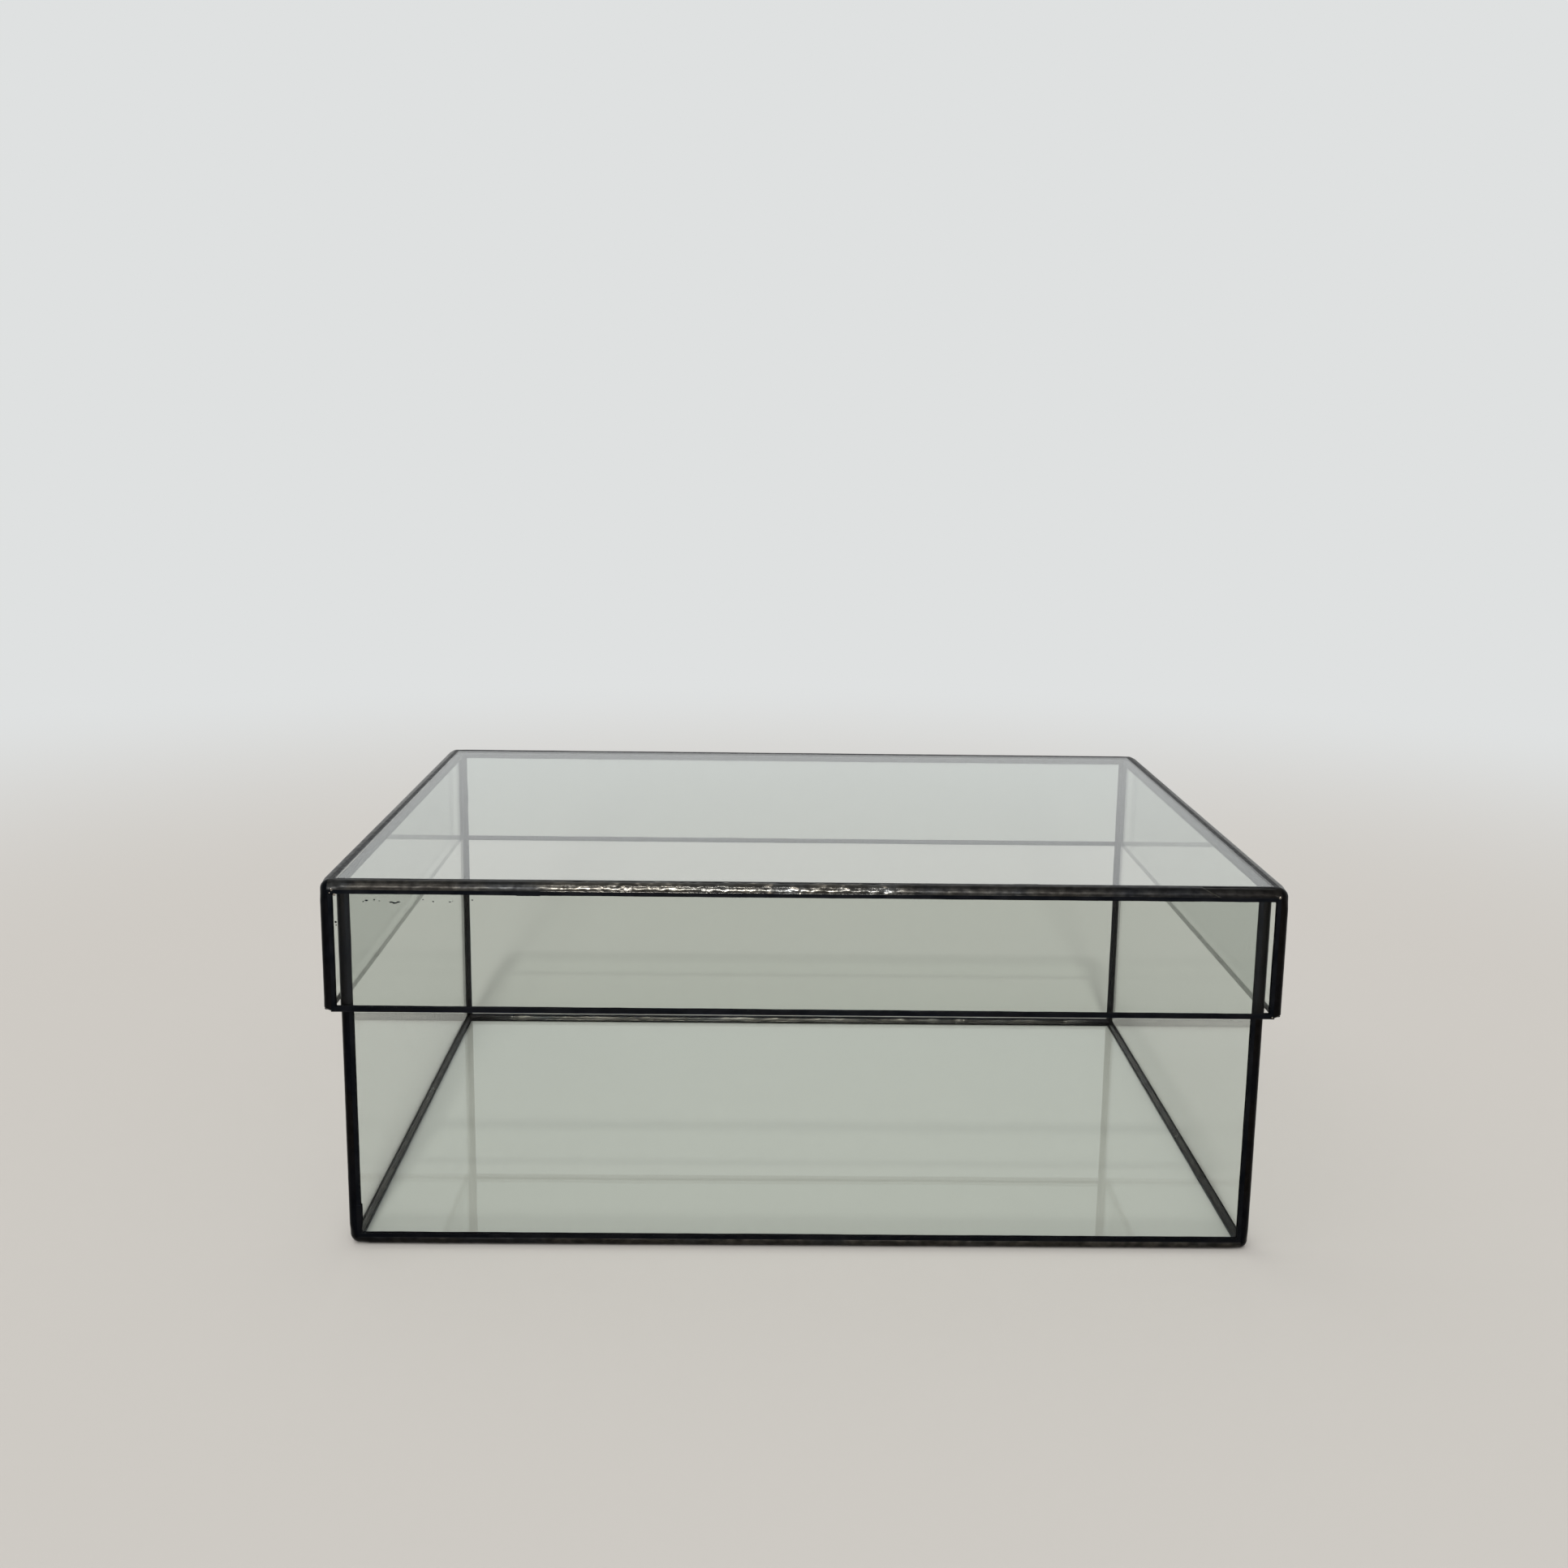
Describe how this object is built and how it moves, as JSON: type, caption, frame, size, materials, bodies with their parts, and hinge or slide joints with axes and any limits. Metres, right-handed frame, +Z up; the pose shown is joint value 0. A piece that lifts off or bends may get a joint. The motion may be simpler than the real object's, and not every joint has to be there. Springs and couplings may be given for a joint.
{
  "type": "glass display case",
  "caption": "Low rectangular box of clear glass panes with dark soldered edges and a lift-off glass lid whose skirt hangs round the walls.",
  "frame": {"origin": "centre of the lid's outline seen from above, on the surface that the case stands on", "axes": "+Z up, the way the lid lifts; +X along the length, to the right of someone facing the front; the front faces -Y"},
  "size_m": [0.3664, 0.2834, 0.1494],
  "materials": {
    "glass": "clear float glass with a faint grey-green tint",
    "foil": "tinned copper foil with black patina, semi-gloss",
    "solder": "solder bead with black patina, semi-gloss and slightly wavy"
  },
  "bodies": {
    "case": {"base_pane": "glass", "case_front_pane": "glass", "case_right_pane": "glass", "case_back_pane": "glass", "case_left_pane": "glass", "base_foil": "foil", "case_front_foil": "foil", "case_right_foil": "foil", "case_back_foil": "foil", "case_left_foil": "foil", "base_front_seam": "solder", "base_right_seam": "solder", "base_back_seam": "solder", "base_left_seam": "solder", "case_front_left_seam": "solder", "case_front_right_seam": "solder", "case_back_right_seam": "solder", "case_back_left_seam": "solder", "case_front_rim": "solder", "case_right_rim": "solder", "case_back_rim": "solder", "case_left_rim": "solder"},
    "lid": {"lid_top_pane": "glass", "lid_front_pane": "glass", "lid_right_pane": "glass", "lid_back_pane": "glass", "lid_left_pane": "glass", "lid_top_foil": "foil", "lid_front_foil": "foil", "lid_right_foil": "foil", "lid_back_foil": "foil", "lid_left_foil": "foil", "lid_top_front_seam": "solder", "lid_top_right_seam": "solder", "lid_top_back_seam": "solder", "lid_top_left_seam": "solder", "lid_front_left_seam": "solder", "lid_front_right_seam": "solder", "lid_back_right_seam": "solder", "lid_back_left_seam": "solder", "lid_front_hem": "solder", "lid_right_hem": "solder", "lid_back_hem": "solder", "lid_left_hem": "solder"}
  },
  "joints": [
    {"name": "lid_lift", "type": "slide", "parent": "case", "child": "lid", "axis": [0, 0, 1], "range_m": [0, 0.1]}
  ]
}
